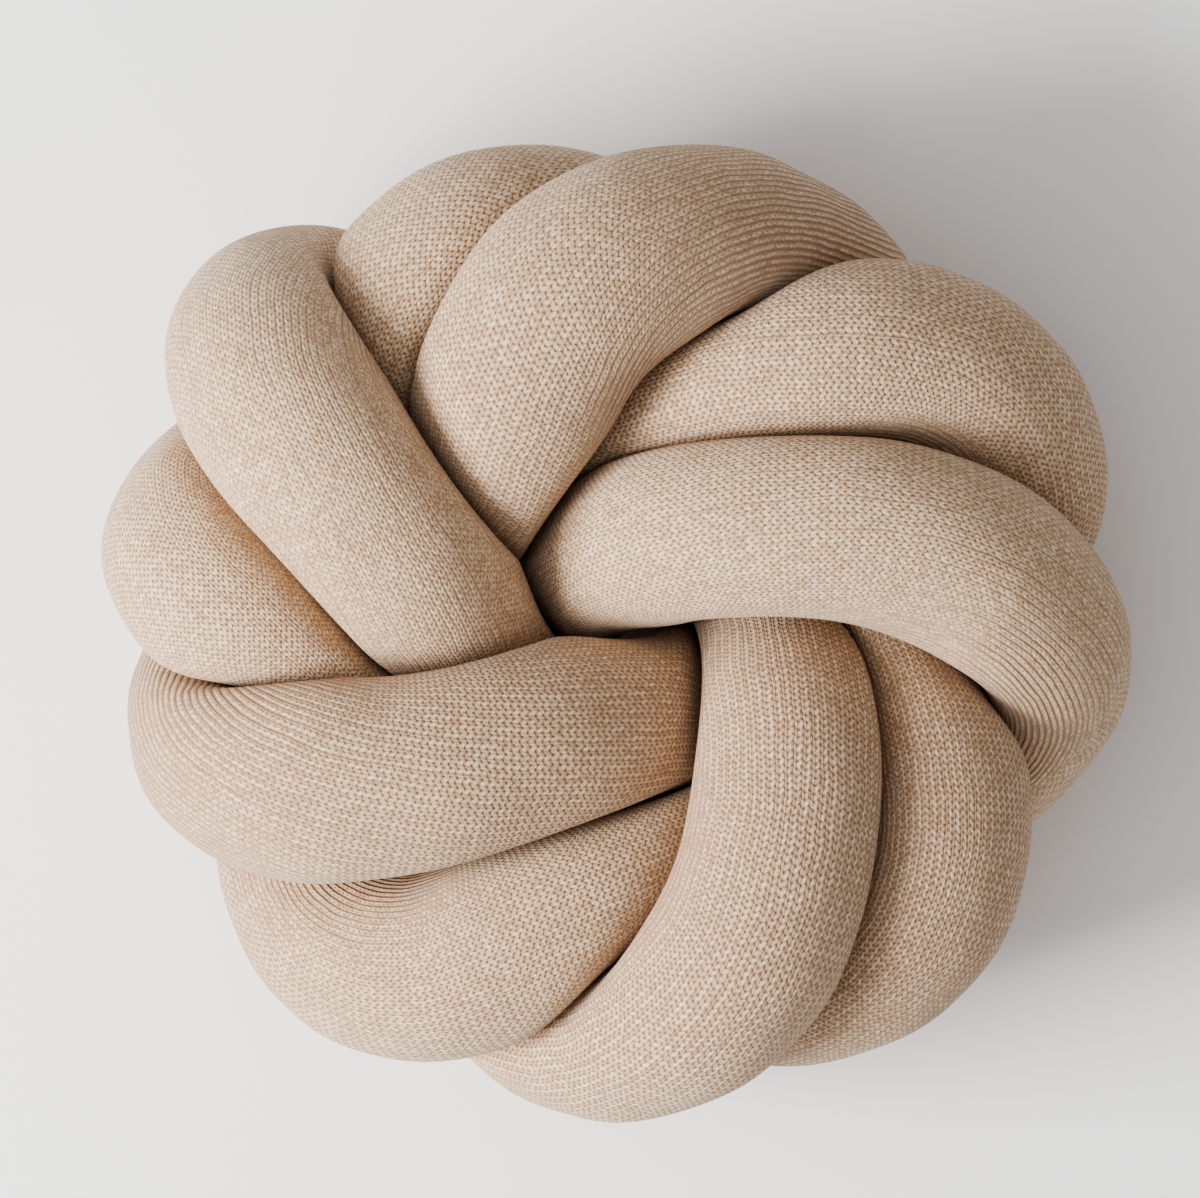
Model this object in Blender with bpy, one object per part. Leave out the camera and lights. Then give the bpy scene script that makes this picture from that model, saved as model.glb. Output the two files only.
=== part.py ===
"""Knot cushion: one stuffed, knitted tube wound ten times round into a thick, flat rosette.

Metres, +Z up. The cushion lies on its back on z = 0, with the middle of its plan at the origin.
+X is the right of the photograph and +Y its top.

The tube is closed on itself. Each turn comes up out of the middle of the knot, runs outward over
the top in the clockwise direction, dips at the rim under the next lobe, and goes back inward on
the underside to where the next turn of the path comes up. Five "high" turns make the pinwheel in
the middle and lie on top of everything. Five "low" turns come out from beneath them.

The path is worked out in three steps: the stations of the ten turns below, a smooth closed curve
through them, and a gentle easing apart of the hidden stretches, so that no two of them lie in the
same place. The skin is then swept along the path. It bulges freely where the tube is free, and it
meets its neighbours half-way, with a narrow crease between, where it is pressed against them.
"""

from math import pi

import bmesh
import bpy
import numpy as np

MM = 0.001
TINY = 1e-9  # keeps clear of dividing by nothing

# The tube.
TUBE_RADIUS = 0.041  # of the stuffed tube where nothing presses on it
MOST_SWELL = 1.12  # the most that a pressed stretch bulges where it is still free
CREASE_GAP = 0.0022  # between two pressed stretches
CREASE_SHARPNESS = 7  # how tightly the skin rounds into a crease
BEND_ROOM = 0.88  # how much of the way to the middle of a bend its inner side may fill
LEAST_HALF = 0.004  # the thinnest that the tube is pressed, measured from its middle
NEAREST_PRESS = 0.2 * TUBE_RADIUS  # nearer than this, two places of the path are the same place
FARTHEST_PRESS = 2.6 * TUBE_RADIUS  # farther than this, they are too far apart to touch
SWELL_ROUNDS = 4  # passes in which a pressed stretch finds its girth
SWELL_BLURS = 6  # smoothing of that girth along the tube

# The knot, measured from its middle plane.
CREST = 0.071  # middle of a high turn at the top, and of a deep run at the bottom
REACH = 0.179  # how far from the middle a hidden stretch may lie
FLOOR_PRESS = 0.004  # how far the deep runs are flattened by the surface that they lie on
MIDDLE_HEIGHT = CREST + TUBE_RADIUS - FLOOR_PRESS

# Easing apart.
TURN_SPACING = 0.82 * 2 * TUBE_RADIUS  # what pressed turns keep between their middles
SAME_STRETCH = 3.2 * TUBE_RADIUS  # nearer than this along the tube, two places don't press
EASE_POINTS = 460
EASE_ROUNDS = 120
EASE_STEP = 0.45
EASE_BLURS = 5
HELD_IN_PLAN = 0.95  # how firmly the stations that show keep their place
HELD_HIDDEN = 0.03
HELD_IN_HEIGHT = 0.04
HIDDEN_BLURS = 40  # smoothing of a hidden stretch before it is moved
HOME_BLURS = 6
GIRTH_BLURS = 6

# The mesh.
PATH_STEPS = 14  # points between two stations of the path
FINE_STEPS = 6  # points between two eased points of it
RINGS = 368
SIDES = 16
WELD = 1e-6  # points nearer than this are one point

SAND = (0.62, 0.49, 0.37, 1.0)

# How high the middle of the tube is at each station of a turn, in mm above the middle plane, and
# how firmly the station is held. The first and the last lie under a neighbour.
STATIONS = (
    # name, high turn, low turn, hold
    ("tuck", -42, -14, 0.2),
    ("emerge", -2, 2, 1.0),
    ("rise", 49, 22, 1.0),
    ("crest", 71, 35, 1.0),
    ("shoulder", 67, 36, 1.0),
    ("rim", 34, 22, 1.0),
    ("dive", -11, -4, 0.6),
)
# The run on the underside, by the turn that it leads to.
UNDERSIDE = {"high": -71, "low": -34}
UNDERSIDE_HOLD = 0.0

# The ten turns in the order of the path. The high ones make the pinwheel.
HIGH_TURNS = "EAGCI"
# The middle of the tube in plan, as x, y in mm.
PLAN = {
    # tuck, emerge, rise, crest, shoulder, rim, dive, underside
    "H": ((124, 15), (132, -23), (138, -54), (142, -88), (133, -120), (110, -142), (77, -152), (-8, -119)),
    "D": ((-117, -43), (-134, -21), (-152, 0), (-169, 14), (-183, 27), (-186, 40), (-171, 56), (-115, 93)),
    "J": ((-25, 93), (15, 92), (51, 109), (92, 118), (136, 120), (168, 98), (181, 65), (144, 15)),
    "E": ((68, -33), (33, -38), (-12, -45), (-66, -58), (-126, -66), (-168, -53), (-171, -25), (-131, 6)),
    "A": ((-80, 33), (-63, 61), (-48, 99), (-25, 143), (11, 165), (57, 164), (95, 137), (89, 82)),
    "G": ((75, 24), (75, -8), (78, -48), (75, -93), (54, -143), (10, -173), (-34, -163), (-39, -97)),
    "C": ((-42, -36), (-64, -8), (-91, 26), (-118, 61), (-146, 98), (-153, 128), (-130, 138), (-86, 82)),
    "I": ((-36, 25), (-10, 31), (25, 44), (82, 48), (142, 38), (185, 3), (186, -33), (138, -70)),
    "F": ((93, -90), (53, -99), (14, -113), (-31, -129), (-75, -150), (-115, -144), (-135, -118), (-133, -43)),
    "B": ((-136, 57), (-120, 101), (-99, 128), (-85, 151), (-69, 165), (-43, 176), (-11, 168), (66, 109)),
}
# How thick the tube is there, in hundredths of the free tube.
GIRTH = {
    # tuck, emerge, rise, crest, shoulder, rim, dive, underside
    "H": (100, 100, 100, 100, 100, 100, 100, 100),
    "D": (100, 100, 100, 100, 100, 100, 100, 100),
    "J": (102, 102, 102, 102, 102, 102, 102, 100),
    "E": (102, 102, 102, 103, 103, 103, 100, 100),
    "A": (107, 107, 111, 110, 107, 107, 107, 100),
    "G": (100, 100, 99, 98, 100, 102, 102, 100),
    "C": (103, 103, 103, 103, 103, 103, 103, 100),
    "I": (92, 90, 95, 100, 99, 94, 96, 100),
    "F": (100, 100, 100, 100, 100, 100, 100, 100),
    "B": (100, 100, 100, 100, 100, 100, 100, 100),
}


def clear_scene():
    for old in list(bpy.data.objects):
        bpy.data.objects.remove(old, do_unlink=True)


def stations():
    """(x, y, z), hold and girth at every station, in the order of the path."""
    order = list(PLAN)
    rows = []
    for turn, name in enumerate(order):
        kind = "high" if name in HIGH_TURNS else "low"
        next_kind = "high" if order[(turn + 1) % len(order)] in HIGH_TURNS else "low"
        heights = [high if kind == "high" else low for _, high, low, _ in STATIONS] + [UNDERSIDE[next_kind]]
        holds = [hold for *_, hold in STATIONS] + [UNDERSIDE_HOLD]
        for (x, y), z, hold, girth in zip(PLAN[name], heights, holds, GIRTH[name]):
            rows.append((x * MM, y * MM, z * MM, hold, girth / 100))
    table = np.array(rows, float)
    return table[:, :3], table[:, 3], table[:, 4]


def closed_spline(points, steps):
    """A smooth closed curve through the points, as steps points for each span."""
    count = len(points)
    following = np.roll(points, -1, 0)
    span = np.linalg.norm(following - points, axis=1)
    slope = (following - points) / span[:, None]
    matrix = np.zeros((count, count))
    for i in range(count):
        matrix[i, i - 1] = span[i - 1]
        matrix[i, i] = 2 * (span[i - 1] + span[i])
        matrix[i, (i + 1) % count] = span[i]
    bend = np.linalg.solve(matrix, 6 * (slope - np.roll(slope, 1, 0)))
    next_bend = np.roll(bend, -1, 0)
    b = (np.arange(steps) / steps)[None, :, None]
    a = 1 - b
    curve = a * points[:, None] + b * following[:, None]
    curve += ((a**3 - a) * bend[:, None] + (b**3 - b) * next_bend[:, None]) * span[:, None, None] ** 2 / 6
    return curve.reshape(-1, 3)


def spaced(line, values, count):
    """The closed line, and values along it, at count points with equal steps between them."""
    closed = np.vstack([line, line[:1]])
    along = np.concatenate([[0], np.cumsum(np.linalg.norm(np.diff(closed, axis=0), axis=1))])
    wanted = np.arange(count) / count * along[-1]
    columns = np.column_stack([line, values])
    columns = np.vstack([columns, columns[:1]])
    even = np.stack([np.interp(wanted, along, column) for column in columns.T], 1)
    return even[:, :3], even[:, 3:]


def blurred(values, rounds):
    for _ in range(rounds):
        values = (np.roll(values, 1, 0) + 2 * values + np.roll(values, -1, 0)) / 4
    return values


def eased(line, hold):
    """The path with its hidden stretches moved apart and its stations that show held in plan."""
    count = len(line)
    free = 1 - hold
    home = line * hold[:, None] + blurred(line, HIDDEN_BLURS) * free[:, None]
    home = blurred(home, HOME_BLURS)
    in_plan = HELD_IN_PLAN * hold + HELD_HIDDEN * free
    held = np.stack([in_plan, in_plan, HELD_IN_HEIGHT * hold], 1)
    places = np.arange(count)
    apart = np.abs(places[:, None] - places[None])
    apart = np.minimum(apart, count - apart)
    line = home.copy()
    for _ in range(EASE_ROUNDS):
        step = np.linalg.norm(np.roll(line, -1, 0) - line, axis=1).mean()
        away = line[:, None] - line[None]
        distance = np.sqrt((away**2).sum(2)) + TINY
        pressed = (distance < TURN_SPACING) & (apart * step > SAME_STRETCH)
        push = np.where(pressed, (TURN_SPACING - distance) / distance, 0)
        share = np.maximum(pressed.sum(1), 1)[:, None]
        line = line + EASE_STEP * (away * push[:, :, None]).sum(1) / share
        too_high = np.sign(line[:, 2]) * np.maximum(np.abs(line[:, 2]) - CREST, 0)
        line[:, 2] -= too_high / 2
        reach = np.hypot(line[:, 0], line[:, 1])
        too_far = np.maximum(reach - REACH, 0) * free / reach
        line[:, :2] -= too_far[:, None] * line[:, :2] / 2
        line = home + blurred(line - home, EASE_BLURS) * (1 - held)
    return line


def tube_path(count):
    """Middle of the tube at count places, on the surface z = 0, and its girth there."""
    points, hold, girth = stations()
    curve = closed_spline(points, PATH_STEPS)
    weight = np.arange(PATH_STEPS) / PATH_STEPS
    between = [
        (value[:, None] * (1 - weight) + np.roll(value, -1)[:, None] * weight).reshape(-1)
        for value in (hold, girth)
    ]
    line, values = spaced(curve, np.stack(between, 1), EASE_POINTS)
    line = eased(line, values[:, 0])
    smooth = closed_spline(line, FINE_STEPS)
    line, girth = spaced(smooth, np.repeat(values[:, 1], FINE_STEPS), count)
    line[:, 2] += MIDDLE_HEIGHT
    return line, blurred(girth[:, 0], GIRTH_BLURS)


def side_directions(line, sides):
    """Unit vectors square to the path, sides of them at each place, that turn as little as they can."""
    along = np.roll(line, -1, 0) - np.roll(line, 1, 0)
    along /= np.linalg.norm(along, axis=1)[:, None]
    count = len(line)
    across = np.zeros_like(line)
    current = np.cross(along[0], (0, 0, 1))
    for i in range(count + 1):
        current = current - along[i % count] * (current @ along[i % count])
        current /= np.linalg.norm(current)
        if i < count:
            across[i] = current
    up = np.cross(along, across)
    twist = np.arctan2(current @ up[0], current @ across[0])
    angle = np.arange(sides) / sides * 2 * pi - twist * np.arange(count)[:, None] / count
    return np.cos(angle)[..., None] * across[:, None] + np.sin(angle)[..., None] * up[:, None]


def room(line, sides_out):
    """How far the skin may go each way before it is half-way to another stretch, or in its own bend."""
    count = len(line)
    step = np.linalg.norm(line[1] - line[0])
    places = np.arange(count)
    limit = np.full(sides_out.shape[:2], np.inf)
    for i, middle in enumerate(line):
        away = line - middle
        square = (away**2).sum(1)
        apart = np.abs(places - i)
        own = np.minimum(apart, count - apart) * step < SAME_STRETCH
        near = (square < FARTHEST_PRESS**2) & (square > NEAREST_PRESS**2)
        facing = sides_out[i] @ away[near].T
        half_way = np.where(facing > TINY, square[near] / (2 * np.maximum(facing, TINY)), np.inf)
        half_way = np.where(own[near], half_way * BEND_ROOM, half_way - CREASE_GAP / 2)
        limit[i] = half_way.min(1)
    return np.maximum(limit, LEAST_HALF)


def skin(line, girth, sides):
    """Points of the skin, a ring of them for each place of the path."""
    out = side_directions(line, sides)
    limit = room(line, out)
    down = np.maximum(-out[..., 2], TINY)
    floor = line[:, 2:] / down
    free = TUBE_RADIUS * girth
    swell = np.ones(len(line))
    for _ in range(SWELL_ROUNDS):
        radius = (limit**-CREASE_SHARPNESS + (free * swell)[:, None] ** -CREASE_SHARPNESS) ** (
            -1 / CREASE_SHARPNESS
        )
        radius = np.minimum(radius, floor)
        area = (radius**2).sum(1) * pi / sides
        swell = np.clip(swell * np.sqrt(pi * free**2 / area), 1, MOST_SWELL)
        swell = blurred(swell, SWELL_BLURS)
    return line[:, None] + out * radius[..., None]


def knit():
    material = bpy.data.materials.new("sand knit")
    material.use_nodes = True
    shader = material.node_tree.nodes["Principled BSDF"]
    shader.inputs["Base Color"].default_value = SAND
    shader.inputs["Roughness"].default_value = 0.95
    shader.inputs["Metallic"].default_value = 0.0
    return material


def tube(name, points):
    """A closed tube through the rings of points: a grid whose opposite edges are welded."""
    rings, sides = points.shape[:2]
    closed = np.concatenate([points, points[:1]], 0)
    closed = np.concatenate([closed, closed[:, :1]], 1)
    shape = bmesh.new()
    bmesh.ops.create_grid(shape, x_segments=sides, y_segments=rings, size=1)
    for vertex, place in zip(shape.verts, closed.reshape(-1, 3)):
        vertex.co = place
    bmesh.ops.remove_doubles(shape, verts=shape.verts, dist=WELD)
    bmesh.ops.recalc_face_normals(shape, faces=shape.faces)
    mesh = bpy.data.meshes.new(name)
    shape.to_mesh(mesh)
    shape.free()
    mesh.shade_smooth()
    mesh.materials.append(knit())
    piece = bpy.data.objects.new(name, mesh)
    bpy.context.scene.collection.objects.link(piece)
    return piece


def main():
    clear_scene()
    line, girth = tube_path(RINGS)
    points = skin(line, girth, SIDES)
    middle = (points.min((0, 1)) + points.max((0, 1))) / 2
    points[..., :2] -= middle[:2]
    tube("knotted_tube", points)


main()
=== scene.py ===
"""Looks for the knot cushion: the wound tube at a fine size, its knitted cover, floor, light and camera.

Metres, +Z up. The cushion lies on its back on z = 0, with the middle of its plan at the origin.
+X is the right of the photograph and +Y its top.

The tube is wound here by the same rules and from the same named sizes as the CAD solid: stations,
a smooth closed curve, an easing apart of the hidden stretches, and a skin swept along it. Here the
skin is finer, its creases are narrower, and it is a little lumpy with its stuffing.
"""

from math import pi, radians

import bmesh
import bpy
import numpy as np
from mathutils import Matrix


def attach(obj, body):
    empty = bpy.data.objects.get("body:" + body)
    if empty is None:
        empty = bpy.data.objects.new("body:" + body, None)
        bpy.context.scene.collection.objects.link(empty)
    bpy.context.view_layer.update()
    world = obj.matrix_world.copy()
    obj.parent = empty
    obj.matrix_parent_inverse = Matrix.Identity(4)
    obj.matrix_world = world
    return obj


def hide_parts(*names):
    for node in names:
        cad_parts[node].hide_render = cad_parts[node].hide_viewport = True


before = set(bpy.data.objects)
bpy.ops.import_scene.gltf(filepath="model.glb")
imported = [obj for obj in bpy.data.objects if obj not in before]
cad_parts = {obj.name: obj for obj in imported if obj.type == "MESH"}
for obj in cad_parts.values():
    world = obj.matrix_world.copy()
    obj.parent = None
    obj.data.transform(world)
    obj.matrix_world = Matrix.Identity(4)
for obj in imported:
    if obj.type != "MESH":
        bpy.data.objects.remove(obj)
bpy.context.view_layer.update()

MM = 0.001
TINY = 1e-9

# The tube.
TUBE_RADIUS = 0.041
MOST_SWELL = 1.12
CREASE_GAP = 0.0012
CREASE_SHARPNESS = 8
BEND_ROOM = 0.9
LEAST_HALF = 0.004
NEAREST_PRESS = 0.2 * TUBE_RADIUS
FARTHEST_PRESS = 2.6 * TUBE_RADIUS
SWELL_ROUNDS = 4
SWELL_BLURS = 16

# The knot, measured from its middle plane.
CREST = 0.071
REACH = 0.179
FLOOR_PRESS = 0.004
MIDDLE_HEIGHT = CREST + TUBE_RADIUS - FLOOR_PRESS

# Easing apart.
TURN_SPACING = 0.82 * 2 * TUBE_RADIUS
SAME_STRETCH = 3.2 * TUBE_RADIUS
EASE_POINTS = 460
EASE_ROUNDS = 120
EASE_STEP = 0.45
EASE_BLURS = 5
HELD_IN_PLAN = 0.95
HELD_HIDDEN = 0.03
HELD_IN_HEIGHT = 0.04
HIDDEN_BLURS = 40
HOME_BLURS = 6
GIRTH_BLURS = 6

# The fine skin.
PATH_STEPS = 14
FINE_STEPS = 6
RINGS = 980
SIDES = 96
WELD = 1e-6
LUMP_HEIGHT = 0.0007
LUMP_LENGTH = 0.055
LUMP_SPREAD = (0.7, 1.6)  # the shortest and the longest lumps, as shares of that
LUMP_WAVES = 14
LUMP_ROOM = 0.35  # the room beyond the tube, as a share of its radius, that lets the lumps be whole

# The knit.
WALES = 72  # columns of stitches round the tube
COURSE = 0.00355  # from one row of stitches to the next, where it shows
HIDDEN_SIDE = 0.01  # how much the side that faces down counts when the rows are spaced
KNIT_BLURS = 4
STITCH_VALUES = ("Drawn", "Gathered", "Proud")

# A stitch. Across its column it goes from 0 at the heart of its V to 0.5 at the next column, and
# heights, depths and painted shades are shares of a whole one.
STRAND_ROUND = 0.9
END_NARROW = 1.4
END_OUTER = (0.2, 0.3)  # where a strand's end counts as the one between two columns
HEART_SHARE = 0.75  # how open the heart of the V is beside that
HOLE_EDGE = 0.6
HOLE_DRAWN = (0.5, 1.1)  # how drawn out the cloth is where its holes are shut, and where open
GATHERED_SHUT = 0.6
DIP = (0.2, 0.6)  # between two strands, all along them and at their ends
# Painted shade between two strands, all along them and at their ends.
PAINTED_GAP_SHADE = (0.12, 0.6)
SLACK_COLUMNS = (0.6, 1.0)  # which columns are slack, of all from 0 to 1
SLACK = (0.7, 1.6)  # how deep the seam beside a tight column is, and beside the slackest
RIB_EDGE = (0.24, 0.5)  # where that seam begins across a column, and where it is deepest
GATHERED_EDGE = (0.06, 0.48)  # the same, between whole ribs
GATHERED_DEPTH = 0.85
SIDE_TURN = 0.5  # how soon one strand of a V gives way to the other
SUNK_DEPTH = 0.4
# How much painted shade the sunk strand of a V gets.
SUNK_PAINTED_SHADE = 0.42

# The yarn, and the painted shade of its grooves and holes.
YARN_LIGHT = (0.83, 0.655, 0.465, 1.0)
YARN_DARK = (0.43, 0.27, 0.16, 1.0)
# Painted shade for the grooves, the seams and the sunk strands.
PAINTED_GROOVE_SHADE = (0.33, 0.195, 0.12, 1.0)
# Painted shade for the open holes.
PAINTED_HOLE_SHADE = (0.17, 0.095, 0.058, 1.0)
PAINTED_GROOVE_WHOLE = 0.9  # how far into the grooves their painted shade is whole, and next how much of it that is
PAINTED_GROOVE_SHARE = 0.82
PAINTED_HOLE_SHARE = 0.62
FIBRE_SCALE = 1000.0
CLOUD_SCALE = 34.0
BY_FIBRE, BY_CLOUD, BY_CHANCE = 1.1, 0.06, 0.22  # what the yarn's shade goes by
YARN_MIX = (0.4, 1.0)
WAVER_SCALE = 45.0
WAVER = (0.9, 1.2)  # how far the columns and the rows wander, in stitches
RELIEF = 0.0008
FIBRE_RELIEF = 0.35

STATIONS = (
    # name, high turn, low turn, hold
    ("tuck", -42, -14, 0.2),
    ("emerge", -2, 2, 1.0),
    ("rise", 49, 22, 1.0),
    ("crest", 71, 35, 1.0),
    ("shoulder", 67, 36, 1.0),
    ("rim", 34, 22, 1.0),
    ("dive", -11, -4, 0.6),
)
UNDERSIDE = {"high": -71, "low": -34}
UNDERSIDE_HOLD = 0.0
RISING = 3  # the first stations of a turn, where it comes up

# The ten turns in the order of the path. The high ones make the pinwheel.
HIGH_TURNS = "EAGCI"
# The middle of the tube in plan, as x, y in mm.
PLAN = {
    # tuck, emerge, rise, crest, shoulder, rim, dive, underside
    "H": ((124, 15), (132, -23), (138, -54), (142, -88), (133, -120), (110, -142), (77, -152), (-8, -119)),
    "D": ((-117, -43), (-134, -21), (-152, 0), (-169, 14), (-183, 27), (-186, 40), (-171, 56), (-115, 93)),
    "J": ((-25, 93), (15, 92), (51, 109), (92, 118), (136, 120), (168, 98), (181, 65), (144, 15)),
    "E": ((68, -33), (33, -38), (-12, -45), (-66, -58), (-126, -66), (-168, -53), (-171, -25), (-131, 6)),
    "A": ((-80, 33), (-63, 61), (-48, 99), (-25, 143), (11, 165), (57, 164), (95, 137), (89, 82)),
    "G": ((75, 24), (75, -8), (78, -48), (75, -93), (54, -143), (10, -173), (-34, -163), (-39, -97)),
    "C": ((-42, -36), (-64, -8), (-91, 26), (-118, 61), (-146, 98), (-153, 128), (-130, 138), (-86, 82)),
    "I": ((-36, 25), (-10, 31), (25, 44), (82, 48), (142, 38), (185, 3), (186, -33), (138, -70)),
    "F": ((93, -90), (53, -99), (14, -113), (-31, -129), (-75, -150), (-115, -144), (-135, -118), (-133, -43)),
    "B": ((-136, 57), (-120, 101), (-99, 128), (-85, 151), (-69, 165), (-43, 176), (-11, 168), (66, 109)),
}
# How thick the tube is there, in hundredths of the free tube.
GIRTH = {
    # tuck, emerge, rise, crest, shoulder, rim, dive, underside
    "H": (100, 100, 100, 100, 100, 100, 100, 100),
    "D": (100, 100, 100, 100, 100, 100, 100, 100),
    "J": (102, 102, 102, 102, 102, 102, 102, 100),
    "E": (102, 102, 102, 103, 103, 103, 100, 100),
    "A": (107, 107, 111, 110, 107, 107, 107, 100),
    "G": (100, 100, 99, 98, 100, 102, 102, 100),
    "C": (103, 103, 103, 103, 103, 103, 103, 100),
    "I": (92, 90, 95, 100, 99, 94, 96, 100),
    "F": (100, 100, 100, 100, 100, 100, 100, 100),
    "B": (100, 100, 100, 100, 100, 100, 100, 100),
}
# How the knit lies on each turn: the lean of its columns from the run of the tube, in degrees, where
# the turn rises and where it falls, how much closer its columns and its rows lie on top, in hundredths,
# and which strand of its Vs stands proud, to the right if above 0, and how much. The other strand
# sinks and gets painted shade.
KNIT_LAY = {
    # rising, falling, columns, rows, proud strand
    "H": (0, 0, 17, 13, -100),
    "D": (-3, -3, 24, 10, 0),
    "J": (-10, -10, -9, 6, 40),
    "E": (-12, -19, -4, 0, -80),
    "A": (-4, 10, -4, 9, 60),
    "G": (0, 0, -5, 5, 90),
    "C": (-11, -13, 9, 0, 0),
    "I": (2, 2, 5, -2, 0),
    "F": (0, -3, 13, 7, 60),
    "B": (0, 0, 10, 5, 0),
}
# Where the cloth is gathered in a bend and its columns stand out as ribs, in hundredths.
NO_RIBS = (0, 0, 0, 0, 0, 0, 0, 0)
RIBBED = {
    # tuck, emerge, rise, crest, shoulder, rim, dive, underside
    "E": (0, 0, 0, 0, 20, 120, 200, 200),
    "A": (0, 0, 0, 0, 60, 200, 220, 150),
    "I": (0, 0, 0, 0, 20, 110, 220, 220),
    "C": (0, 20, 35, 35, 30, 20, 0, 0),
    "F": (0, 0, 0, 0, 0, 60, 150, 120),
}
RIBS_CLOSER = 0.32  # how much closer the columns of whole ribs lie
# How far the cloth is drawn out along the tube where its ribs begin, and where they are whole.
GATHERED = (0.85, 0.5)  # on any turn
RIBS_END = (1.4, 0.9)  # on the turns of the table


# ---------------------------------------------------------------- the path of the tube


def stations():
    """(x, y, z) at every station, and its hold, its girth and how the knit lies there."""
    order = list(PLAN)
    rows = []
    for turn, name in enumerate(order):
        kind = "high" if name in HIGH_TURNS else "low"
        next_kind = "high" if order[(turn + 1) % len(order)] in HIGH_TURNS else "low"
        heights = [high if kind == "high" else low for _, high, low, _ in STATIONS] + [UNDERSIDE[next_kind]]
        holds = [hold for *_, hold in STATIONS] + [UNDERSIDE_HOLD]
        rising, falling, columns, courses, proud = KNIT_LAY[name]
        ribbed = RIBBED.get(name, NO_RIBS)
        for place, ((x, y), z, hold, girth) in enumerate(zip(PLAN[name], heights, holds, GIRTH[name])):
            lean = rising if place < RISING else falling
            ribs = ribbed[place] / 100
            closer = columns / 100 + RIBS_CLOSER * ribs
            lay = (lean, closer, courses / 100, ribs, proud / 100)
            rows.append((x * MM, y * MM, z * MM, hold, girth / 100, *lay))
    table = np.array(rows, float)
    return table[:, :3], table[:, 3:]


def closed_spline(points, steps):
    """A smooth closed curve through the points, as steps points for each span."""
    count = len(points)
    following = np.roll(points, -1, 0)
    span = np.linalg.norm(following - points, axis=1)
    slope = (following - points) / span[:, None]
    matrix = np.zeros((count, count))
    for i in range(count):
        matrix[i, i - 1] = span[i - 1]
        matrix[i, i] = 2 * (span[i - 1] + span[i])
        matrix[i, (i + 1) % count] = span[i]
    bend = np.linalg.solve(matrix, 6 * (slope - np.roll(slope, 1, 0)))
    next_bend = np.roll(bend, -1, 0)
    b = (np.arange(steps) / steps)[None, :, None]
    a = 1 - b
    curve = a * points[:, None] + b * following[:, None]
    curve += ((a**3 - a) * bend[:, None] + (b**3 - b) * next_bend[:, None]) * span[:, None, None] ** 2 / 6
    return curve.reshape(-1, 3)


def spaced(line, values, count):
    """The closed line, and values along it, at count points with equal steps between them."""
    closed = np.vstack([line, line[:1]])
    along = np.concatenate([[0], np.cumsum(np.linalg.norm(np.diff(closed, axis=0), axis=1))])
    wanted = np.arange(count) / count * along[-1]
    columns = np.column_stack([line, values])
    columns = np.vstack([columns, columns[:1]])
    even = np.stack([np.interp(wanted, along, column) for column in columns.T], 1)
    return even[:, :3], even[:, 3:]


def blurred(values, rounds):
    for _ in range(rounds):
        values = (np.roll(values, 1, 0) + 2 * values + np.roll(values, -1, 0)) / 4
    return values


def eased(line, hold):
    """The path with its hidden stretches moved apart and its stations that show held in plan."""
    count = len(line)
    free = 1 - hold
    home = line * hold[:, None] + blurred(line, HIDDEN_BLURS) * free[:, None]
    home = blurred(home, HOME_BLURS)
    in_plan = HELD_IN_PLAN * hold + HELD_HIDDEN * free
    held = np.stack([in_plan, in_plan, HELD_IN_HEIGHT * hold], 1)
    places = np.arange(count)
    apart = np.abs(places[:, None] - places[None])
    apart = np.minimum(apart, count - apart)
    line = home.copy()
    for _ in range(EASE_ROUNDS):
        step = np.linalg.norm(np.roll(line, -1, 0) - line, axis=1).mean()
        away = line[:, None] - line[None]
        distance = np.sqrt((away**2).sum(2)) + TINY
        pressed = (distance < TURN_SPACING) & (apart * step > SAME_STRETCH)
        push = np.where(pressed, (TURN_SPACING - distance) / distance, 0)
        share = np.maximum(pressed.sum(1), 1)[:, None]
        line = line + EASE_STEP * (away * push[:, :, None]).sum(1) / share
        too_high = np.sign(line[:, 2]) * np.maximum(np.abs(line[:, 2]) - CREST, 0)
        line[:, 2] -= too_high / 2
        reach = np.hypot(line[:, 0], line[:, 1])
        too_far = np.maximum(reach - REACH, 0) * free / reach
        line[:, :2] -= too_far[:, None] * line[:, :2] / 2
        line = home + blurred(line - home, EASE_BLURS) * (1 - held)
    return line


def tube_path(count):
    """Middle of the tube at count places, on the surface z = 0, and its girth and the knit's lay there."""
    points, values = stations()
    curve = closed_spline(points, PATH_STEPS)
    weight = (np.arange(PATH_STEPS) / PATH_STEPS)[None, :, None]
    values = values[:, None] * (1 - weight) + np.roll(values, -1, 0)[:, None] * weight
    line, values = spaced(curve, values.reshape(len(curve), -1), EASE_POINTS)
    line = eased(line, values[:, 0])
    smooth = closed_spline(line, FINE_STEPS)
    line, values = spaced(smooth, np.repeat(values[:, 1:], FINE_STEPS, 0), count)
    line[:, 2] += MIDDLE_HEIGHT
    return line, blurred(values, GIRTH_BLURS).T


# ---------------------------------------------------------------- the skin


def side_directions(line, sides):
    """Unit vectors square to the path, sides of them at each place, that turn as little as they can."""
    along = np.roll(line, -1, 0) - np.roll(line, 1, 0)
    along /= np.linalg.norm(along, axis=1)[:, None]
    count = len(line)
    across = np.zeros_like(line)
    current = np.cross(along[0], (0, 0, 1))
    for i in range(count + 1):
        current = current - along[i % count] * (current @ along[i % count])
        current /= np.linalg.norm(current)
        if i < count:
            across[i] = current
    up = np.cross(along, across)
    twist = np.arctan2(current @ up[0], current @ across[0])
    angle = np.arange(sides) / sides * 2 * pi - twist * np.arange(count)[:, None] / count
    return np.cos(angle)[..., None] * across[:, None] + np.sin(angle)[..., None] * up[:, None]


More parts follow.
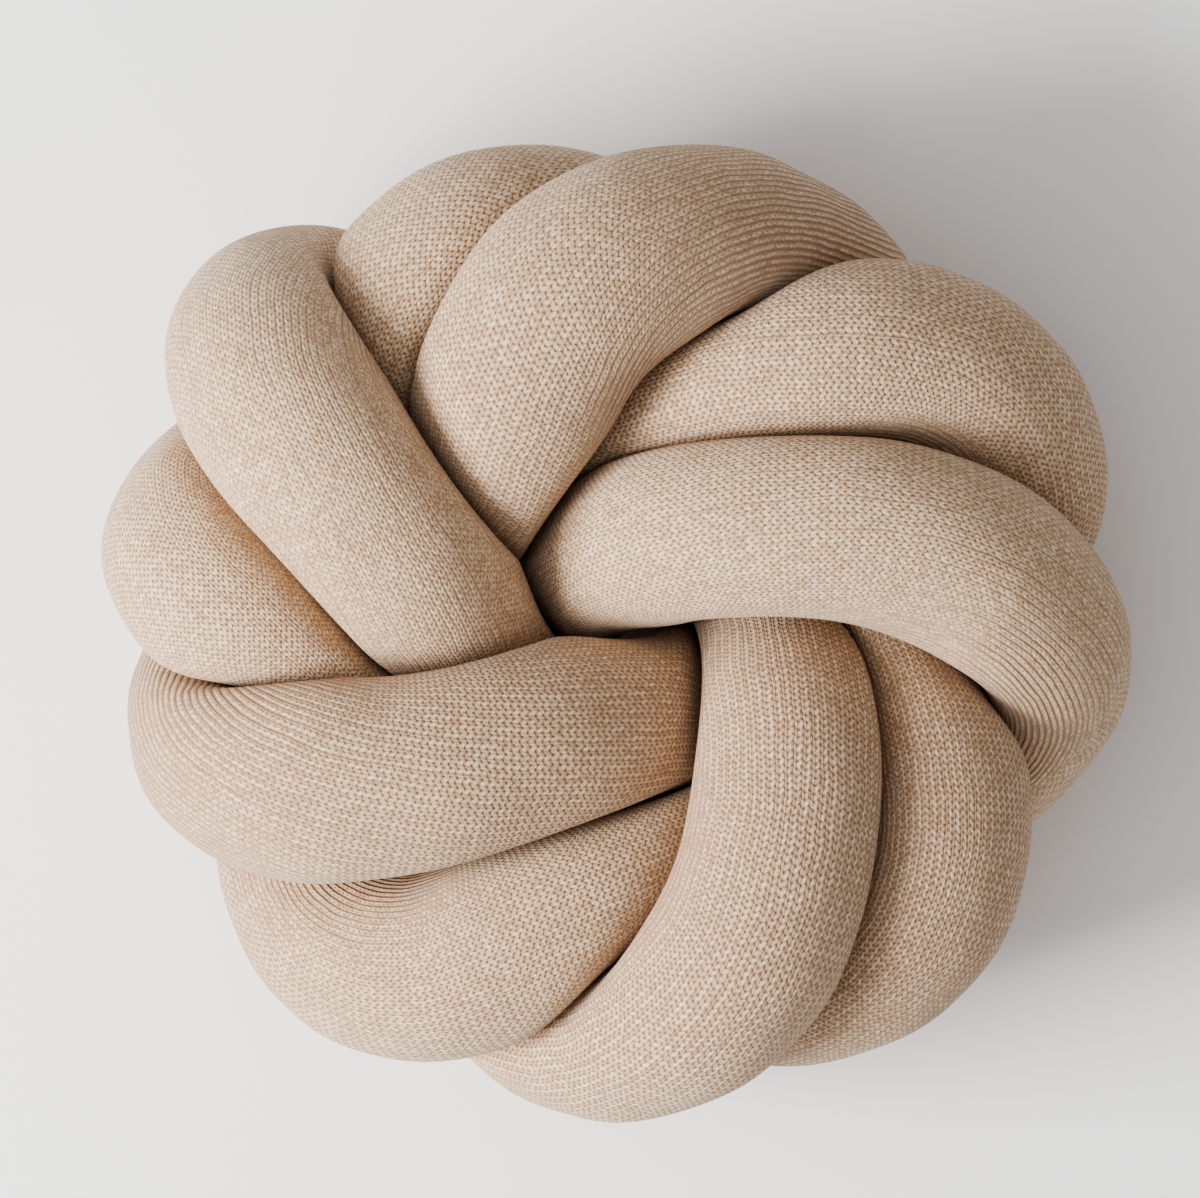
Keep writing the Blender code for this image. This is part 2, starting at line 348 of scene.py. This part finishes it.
def room(line, sides_out):
    """How far the skin may go each way before it is half-way to another stretch, or in its own bend."""
    count = len(line)
    step = np.linalg.norm(line[1] - line[0])
    places = np.arange(count)
    limit = np.full(sides_out.shape[:2], np.inf)
    for i, middle in enumerate(line):
        away = line - middle
        square = (away**2).sum(1)
        apart = np.abs(places - i)
        own = np.minimum(apart, count - apart) * step < SAME_STRETCH
        near = (square < FARTHEST_PRESS**2) & (square > NEAREST_PRESS**2)
        facing = sides_out[i] @ away[near].T
        half_way = np.where(facing > TINY, square[near] / (2 * np.maximum(facing, TINY)), np.inf)
        half_way = np.where(own[near], half_way * BEND_ROOM, half_way - CREASE_GAP / 2)
        limit[i] = half_way.min(1)
    return np.maximum(limit, LEAST_HALF)


def lumps(points):
    """Gentle unevenness of the stuffing, from -1 to 1, as a sum of slow waves through space."""
    chance = np.random.default_rng(5)
    total = np.zeros(points.shape[:-1])
    for _ in range(LUMP_WAVES):
        direction = chance.normal(size=3)
        direction *= 2 * pi / (LUMP_LENGTH * chance.uniform(*LUMP_SPREAD)) / np.linalg.norm(direction)
        total += np.sin(points @ direction + chance.uniform(0, 2 * pi))
    return total / np.sqrt(LUMP_WAVES)


def skin(line, girth, sides):
    """Points of the skin, a ring of them for each place of the path."""
    out = side_directions(line, sides)
    limit = room(line, out)
    down = np.maximum(-out[..., 2], TINY)
    floor = line[:, 2:] / down
    free = TUBE_RADIUS * girth
    swell = np.ones(len(line))
    for _ in range(SWELL_ROUNDS):
        radius = limit**-CREASE_SHARPNESS + (free * swell)[:, None] ** -CREASE_SHARPNESS
        radius **= -1 / CREASE_SHARPNESS
        radius = np.minimum(radius, floor)
        area = (radius**2).sum(1) * pi / sides
        swell = np.clip(swell * np.sqrt(pi * free**2 / area), 1, MOST_SWELL)
        swell = blurred(swell, SWELL_BLURS)
    whole = (free * swell)[:, None]
    loose = np.clip((np.minimum(limit, floor) / whole - 1.0) / LUMP_ROOM, 0, 1)
    points = line[:, None] + out * radius[..., None]
    points += out * (lumps(points) * LUMP_HEIGHT * loose)[..., None]
    return points


def between(values, ends):
    """0 at the first end, 1 at the second, even between them and no more beyond."""
    return np.clip((values - ends[0]) / (ends[1] - ends[0]), 0, 1)


def knit_lay(points, lean, columns, rows, ribs, proud):
    """How the knit lies on the skin, at each corner of its grid: the share of the way round and along,
    how far it is drawn out, 1 where it is at rest, how gathered it is, which strand stands proud, and
    the number of courses."""
    rings, sides = points.shape[:2]
    angle = np.arange(sides) / sides * 2 * pi
    out = points - points.mean(1, keepdims=True)
    lift = out[..., 2] / np.linalg.norm(out, axis=2)
    # The courses are even where the cloth shows, which is on top.
    length = np.linalg.norm(np.roll(points, -1, 0) - points, axis=2)
    on_top = np.maximum(lift, 0) ** 2 + HIDDEN_SIDE
    shown = (length * on_top).sum(1) / on_top.sum(1)
    along = np.concatenate([[0], np.cumsum(shown * (1 + rows))])
    courses = round(along[-1] / COURSE)
    slant = np.tan(np.radians(lean))
    shift = np.concatenate([[0], np.cumsum(slant * shown)]) / (2 * pi * TUBE_RADIUS)
    shift -= shift[-1] * np.arange(rings + 1) / rings
    # The columns lie closer on top by the share that the tube faces up there.
    rise = 2 * (lift * np.sin(angle)).mean(1)[:, None]
    run = 2 * (lift * np.cos(angle)).mean(1)[:, None]
    bunch = 1 + columns[:, None] * (run * np.cos(angle) + rise * np.sin(angle))
    width = np.linalg.norm(np.roll(points, -1, 1) - np.roll(points, 1, 1), axis=2) / 2
    drawn_round = width / (2 * pi * TUBE_RADIUS / sides) / bunch
    drawn_along = blurred(length / shown[:, None], KNIT_BLURS)
    gathered = between(drawn_along, GATHERED)
    gathered = np.clip(np.maximum(gathered, between(drawn_along, RIBS_END) * ribs[:, None]), 0, 1)
    # Over the top of the tube, sideways from its middle.
    angle = np.append(angle, 2 * pi)
    aside = run * np.sin(angle) - rise * np.cos(angle)
    closing = np.append(np.arange(rings), 0)
    share = (angle + (columns[:, None] * aside)[closing]) / (2 * pi) + shift[:, None]
    row = along[:, None] - (slant[:, None] * TUBE_RADIUS * aside)[closing]
    place = np.stack([share, row / along[-1]], 2)
    proud = np.repeat(proud[:, None], sides, 1)
    return place, (drawn_along * blurred(drawn_round, KNIT_BLURS), gathered, proud), courses


# ---------------------------------------------------------------- nodes


class Wiring:
    """A few short hands for laying nodes in a tree."""

    def __init__(self, tree):
        self.tree = tree

    def node(self, kind, **settings):
        made = self.tree.nodes.new(kind)
        for name, value in settings.items():
            setattr(made, name, value)
        return made

    def join(self, source, target):
        if isinstance(source, (int, float, tuple)):
            target.default_value = source
        else:
            self.tree.links.new(source, target)

    def math(self, operation, *values, clamp=False):
        made = self.node("ShaderNodeMath", operation=operation, use_clamp=clamp)
        for value, socket in zip(values, made.inputs):
            self.join(value, socket)
        return made.outputs[0]

    def product(self, *values):
        """Their product, with each further value multiplied in turn."""
        total = values[0]
        for value in values[1:]:
            total = self.math("MULTIPLY", total, value)
        return total

    def noise(self, place, scale, detail):
        made = self.node("ShaderNodeTexNoise", noise_dimensions="3D")
        self.join(place, made.inputs["Vector"])
        self.join(scale, made.inputs["Scale"])
        self.join(detail, made.inputs["Detail"])
        return made.outputs

    def ramp(self, value, low, high, to_low=0.0, to_high=1.0):
        """value taken smoothly from low..high to to_low..to_high."""
        made = self.node("ShaderNodeMapRange", interpolation_type="SMOOTHSTEP")
        for name, amount in (
            ("Value", value),
            ("From Min", low),
            ("From Max", high),
            ("To Min", to_low),
            ("To Max", to_high),
        ):
            self.join(amount, made.inputs[name])
        return made.outputs["Result"]

    def blend(self, share, first, second):
        """A colour between two, by share."""
        made = self.node("ShaderNodeMix", data_type="RGBA", blend_type="MIX", clamp_factor=True)
        self.join(share, made.inputs["Factor"])
        self.join(first, made.inputs[6])
        self.join(second, made.inputs[7])
        return made.outputs[2]


def node_group(name, inputs, outputs):
    group = bpy.data.node_groups.new(name, "ShaderNodeTree")
    for label, kind, value in inputs:
        socket = group.interface.new_socket(name=label, in_out="INPUT", socket_type=kind)
        if value is not None:
            socket.default_value = value
    for label, kind in outputs:
        group.interface.new_socket(name=label, in_out="OUTPUT", socket_type=kind)
    wiring = Wiring(group)
    given = wiring.node("NodeGroupInput")
    made = wiring.node("NodeGroupOutput")
    return group, wiring, given.outputs, made.inputs


def stockinette():
    """Columns of V stitches. It puts out the yarn's height, the painted shade of its grooves, seams and
    sunk strands, how open the cloth is, and a chance value for each strand."""
    group, w, given, made = node_group(
        "stockinette",
        (
            ("Wale", "NodeSocketFloat", 0.0),
            ("Course", "NodeSocketFloat", 0.0),
            ("Drawn", "NodeSocketFloat", 1.0),
            ("Gathered", "NodeSocketFloat", 0.0),
            ("Proud", "NodeSocketFloat", 0.0),
            ("Slant", "NodeSocketFloat", 1.0),
            ("Ribs", "NodeSocketFloat", 0.25),
            ("Legs", "NodeSocketFloat", 0.1),
        ),
        (
            ("Height", "NodeSocketFloat"),
            ("Painted Shade", "NodeSocketFloat"),
            ("Hole", "NodeSocketFloat"),
            ("Stitch", "NodeSocketFloat"),
        ),
    )
    inside = w.math("SUBTRACT", w.math("FRACT", given["Wale"]), 0.5)
    off = w.math("ABSOLUTE", inside)
    climb = w.math("SUBTRACT", given["Course"], w.product(given["Slant"], off))
    row = w.math("FRACT", climb)
    strand = w.math("POWER", w.math("SINE", w.product(row, pi)), STRAND_ROUND)
    gap = w.math("SUBTRACT", 1.0, strand)
    # Where the cloth is gathered, its rows close up and its columns stand out as ribs, with painted shade in
    # the seams between them.
    close = w.math("MULTIPLY_ADD", given["Gathered"], -GATHERED_SHUT, 1.0)
    # The ends of a strand, at the heart of the V and between two columns, are where the cloth is open, and its
    # holes get painted shade.
    ends = w.math("POWER", w.math("ABSOLUTE", w.math("COSINE", w.product(off, 2 * pi))), END_NARROW)
    weight = w.math("MULTIPLY_ADD", w.ramp(off, *END_OUTER), 1 - HEART_SHARE, HEART_SHARE)
    hole = w.product(ends, weight, w.ramp(gap, 0.0, HOLE_EDGE))
    open_cloth = w.product(w.ramp(given["Drawn"], *HOLE_DRAWN), close)
    hole = w.math("MULTIPLY", hole, open_cloth, clamp=True)
    dip = w.product(gap, w.math("MULTIPLY_ADD", ends, DIP[1], DIP[0]), close)
    shade = w.product(gap, w.math("MULTIPLY_ADD", ends, PAINTED_GAP_SHADE[1], PAINTED_GAP_SHADE[0]), close)
    seam = w.math("FLOOR", w.math("ADD", given["Wale"], 0.5))
    column = w.node("ShaderNodeTexWhiteNoise", noise_dimensions="1D")
    w.join(w.math("FLOORED_MODULO", seam, float(WALES)), column.inputs["W"])
    slack = w.ramp(column.outputs["Value"], *SLACK_COLUMNS, *SLACK)
    rib = w.product(w.ramp(off, *RIB_EDGE), given["Ribs"], slack)
    gathered = w.ramp(off, *GATHERED_EDGE, 0.0, GATHERED_DEPTH)
    rib = w.math("MULTIPLY_ADD", gathered, given["Gathered"], rib)
    seams = w.math("MAXIMUM", rib, w.product(ends, ends, given["Legs"]))
    # One strand of each V may stand proud, and the other sinks behind it and gets painted shade.
    side = w.ramp(w.math("SINE", w.product(inside, 2 * pi)), -SIDE_TURN, SIDE_TURN, 1.0, -1.0)
    sunk = w.math("MAXIMUM", w.product(side, given["Proud"]), 0.0)
    height = w.math("SUBTRACT", 1.0, w.math("MAXIMUM", dip, seams))
    height = w.math("MULTIPLY_ADD", sunk, -SUNK_DEPTH, height)
    # The gaps between strands, the seams and the sunk strand get painted shade in the colour.
    painted_shade = w.math("MULTIPLY_ADD", sunk, SUNK_PAINTED_SHADE, w.math("MAXIMUM", shade, seams))
    # Each strand of each row has a chance value of its own.
    strands = w.node("ShaderNodeCombineXYZ")
    counted = w.math("FLOOR", w.product(given["Wale"], 2.0))
    w.join(w.math("FLOORED_MODULO", counted, 2.0 * WALES), strands.inputs[0])
    w.join(w.math("FLOOR", climb), strands.inputs[1])
    chance = w.node("ShaderNodeTexWhiteNoise", noise_dimensions="2D")
    w.join(strands.outputs[0], chance.inputs["Vector"])
    w.join(height, made["Height"])
    w.join(painted_shade, made["Painted Shade"])
    w.join(hole, made["Hole"])
    w.join(chance.outputs["Value"], made["Stitch"])
    return group


def melange():
    """The mottled colour of a spun yarn, from fine fibres of a lighter and a darker shade."""
    group, w, given, made = node_group(
        "melange",
        (
            ("Vector", "NodeSocketVector", None),
            ("Light", "NodeSocketColor", YARN_LIGHT),
            ("Dark", "NodeSocketColor", YARN_DARK),
            ("Chance", "NodeSocketFloat", 0.5),
        ),
        (("Color", "NodeSocketColor"), ("Fibre", "NodeSocketFloat")),
    )
    fibre = w.noise(given["Vector"], FIBRE_SCALE, 2.0)["Fac"]
    cloudy = w.noise(given["Vector"], CLOUD_SCALE, 3.0)["Fac"]
    share = w.math("ADD", w.product(fibre, BY_FIBRE), w.product(cloudy, BY_CLOUD))
    share = w.math("ADD", share, w.product(given["Chance"], BY_CHANCE))
    share = w.ramp(share, *YARN_MIX)
    w.join(w.blend(share, given["Dark"], given["Light"]), made["Color"])
    w.join(fibre, made["Fibre"])
    return group


def knit(name, courses):
    """The cloth: stockinette of a melange yarn, on the piece's own map, with that many rows in all, and
    painted shade in its grooves and holes.
    """
    material = bpy.data.materials.new(name)
    material.use_nodes = True
    w = Wiring(material.node_tree)
    shader = material.node_tree.nodes["Principled BSDF"]
    place = w.node("ShaderNodeUVMap", uv_map="knit")
    apart = w.node("ShaderNodeSeparateXYZ")
    w.join(place.outputs["UV"], apart.inputs[0])
    space = w.node("ShaderNodeTexCoord").outputs["Object"]
    # The columns and rows wander a little.
    aside = w.node("ShaderNodeSeparateXYZ")
    w.join(w.noise(space, WAVER_SCALE, 2.0)["Color"], aside.inputs[0])
    stitches = w.node("ShaderNodeGroup", node_tree=stockinette())
    for value, along, count, waver in (("Wale", "X", WALES, WAVER[0]), ("Course", "Y", courses, WAVER[1])):
        wander = w.product(aside.outputs[along], waver)
        counted = w.math("MULTIPLY_ADD", apart.outputs[along], float(count), wander)
        w.join(counted, stitches.inputs[value])
    for value in STITCH_VALUES:
        read = w.node("ShaderNodeAttribute", attribute_name=value)
        w.join(read.outputs["Fac"], stitches.inputs[value])
    yarn = w.node("ShaderNodeGroup", node_tree=melange())
    w.join(space, yarn.inputs["Vector"])
    w.join(stitches.outputs["Stitch"], yarn.inputs["Chance"])
    # Painted shade in the grooves, the seams and the sunk strands.
    deep = w.ramp(stitches.outputs["Painted Shade"], 0.0, PAINTED_GROOVE_WHOLE, 0.0, PAINTED_GROOVE_SHARE)
    colour = w.blend(deep, yarn.outputs["Color"], PAINTED_GROOVE_SHADE)
    # Painted shade in the open holes of the knit.
    colour = w.blend(w.product(stitches.outputs["Hole"], PAINTED_HOLE_SHARE), colour, PAINTED_HOLE_SHADE)
    w.join(colour, shader.inputs["Base Color"])
    height = w.math("ADD", stitches.outputs["Height"], w.product(yarn.outputs["Fibre"], FIBRE_RELIEF))
    bump = w.node("ShaderNodeBump")
    bump.inputs["Strength"].default_value = 1.0
    bump.inputs["Distance"].default_value = RELIEF
    w.join(height, bump.inputs["Height"])
    w.join(bump.outputs["Normal"], shader.inputs["Normal"])
    shader.inputs["Roughness"].default_value = 0.95
    shader.inputs["Specular IOR Level"].default_value = 0.15
    shader.inputs["Sheen Weight"].default_value = 0.25
    shader.inputs["Sheen Roughness"].default_value = 0.5
    shader.inputs["Sheen Tint"].default_value = (1.0, 0.93, 0.85, 1.0)
    return material


# ---------------------------------------------------------------- the cushion


def tube(name, points, lay):
    """The closed tube: a grid whose opposite edges are welded, with the knit's own UV map on it."""
    rings, sides = points.shape[:2]
    places, values, courses = knit_lay(points, *lay)

    def closed(values):
        values = np.concatenate([values, values[:1]], 0)
        return np.concatenate([values, values[:, :1]], 1)

    shape = bmesh.new()
    bmesh.ops.create_grid(shape, x_segments=sides, y_segments=rings, size=0.5, calc_uvs=True)
    layer = shape.loops.layers.uv.verify()
    layers = [shape.verts.layers.float.new(value) for value in STITCH_VALUES]
    shape.verts.ensure_lookup_table()
    places = places.reshape(-1, 2)
    for face in shape.faces:
        for corner in face.loops:
            corner[layer].uv = places[corner.vert.index]
    values = np.stack([closed(value).ravel() for value in values], 1)
    for vertex, place, row in zip(shape.verts, closed(points).reshape(-1, 3), values):
        vertex.co = place
        for value, amount in zip(layers, row):
            vertex[value] = amount
    bmesh.ops.remove_doubles(shape, verts=shape.verts, dist=WELD)
    bmesh.ops.recalc_face_normals(shape, faces=shape.faces)
    mesh = bpy.data.meshes.new(name)
    shape.to_mesh(mesh)
    shape.free()
    mesh.uv_layers[0].name = "knit"
    mesh.shade_smooth()
    mesh.materials.append(knit("sand_knit", courses))
    piece = bpy.data.objects.new(name, mesh)
    bpy.context.scene.collection.objects.link(piece)
    return piece


def cushion():
    line, (girth, *lay) = tube_path(RINGS)
    points = skin(line, girth, SIDES)
    middle = (points.min((0, 1)) + points.max((0, 1))) / 2
    points[..., :2] -= middle[:2]
    piece = tube("knitted_cover", points, lay)
    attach(piece, "root")
    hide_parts("knotted_tube")


# ---------------------------------------------------------------- floor, light and camera

FLOOR_REACH = 6  # from its middle to each edge
FLOOR_COLOUR = (0.95, 0.95, 0.955, 1.0)
LIGHT_DISTANCE = 2.6
PIXEL = 0.000447  # metres for each pixel of the photograph, at the height of the rim
PHOTO_WIDTH = 1200
OFF_CENTRE = (-17, 34)  # the photograph's centre from the cushion's, in its pixels, up being +Y
RIM_HEIGHT = 0.11
CAMERA_HEIGHT = 6.0
SENSOR_WIDTH = 36


def floor():
    shape = bmesh.new()
    bmesh.ops.create_grid(shape, x_segments=1, y_segments=1, size=FLOOR_REACH)
    mesh = bpy.data.meshes.new("floor")
    shape.to_mesh(mesh)
    shape.free()
    material = bpy.data.materials.new("pale floor")
    material.use_nodes = True
    shader = material.node_tree.nodes["Principled BSDF"]
    shader.inputs["Base Color"].default_value = FLOOR_COLOUR
    shader.inputs["Roughness"].default_value = 0.9
    mesh.materials.append(material)
    piece = bpy.data.objects.new("floor", mesh)
    bpy.context.scene.collection.objects.link(piece)


def area_light(name, azimuth, elevation, size, power, colour):
    """A square light at that compass angle (from +X towards +Y) and height, turned to the cushion."""
    lamp = bpy.data.lights.new(name, "AREA")
    lamp.shape = "SQUARE"
    lamp.size = size
    lamp.energy = power
    lamp.color = colour
    piece = bpy.data.objects.new(name, lamp)
    turn, lift = radians(azimuth), radians(elevation)
    aim = np.array([np.cos(turn) * np.cos(lift), np.sin(turn) * np.cos(lift), np.sin(lift)])
    piece.location = aim * LIGHT_DISTANCE
    piece.rotation_mode = "XYZ"
    piece.rotation_euler = (pi / 2 - lift, 0, turn + pi / 2)
    bpy.context.scene.collection.objects.link(piece)


def lights():
    area_light("window", azimuth=197, elevation=38, size=1.1, power=125, colour=(1.0, 0.985, 0.965))
    area_light("ceiling", azimuth=200, elevation=72, size=2.4, power=20, colour=(0.98, 0.98, 1.0))
    world = bpy.data.worlds.new("room")
    world.use_nodes = True
    sky = world.node_tree.nodes["Background"]
    sky.inputs["Color"].default_value = (1.0, 0.97, 0.95, 1.0)
    sky.inputs["Strength"].default_value = 0.4
    bpy.context.scene.world = world


def camera():
    """Straight above, and high enough to see the cushion as flat as the photograph does."""
    lens = bpy.data.cameras.new("camera")
    lens.sensor_fit = "HORIZONTAL"
    lens.sensor_width = SENSOR_WIDTH
    lens.lens = SENSOR_WIDTH * (CAMERA_HEIGHT - RIM_HEIGHT) / (PHOTO_WIDTH * PIXEL)
    piece = bpy.data.objects.new("camera", lens)
    piece.location = (OFF_CENTRE[0] * PIXEL, OFF_CENTRE[1] * PIXEL, CAMERA_HEIGHT)
    bpy.context.scene.collection.objects.link(piece)
    bpy.context.scene.camera = piece


cushion()
floor()
lights()
camera()
bpy.context.scene.view_settings.view_transform = "AgX"
bpy.context.scene.view_settings.look = "AgX - Medium High Contrast"
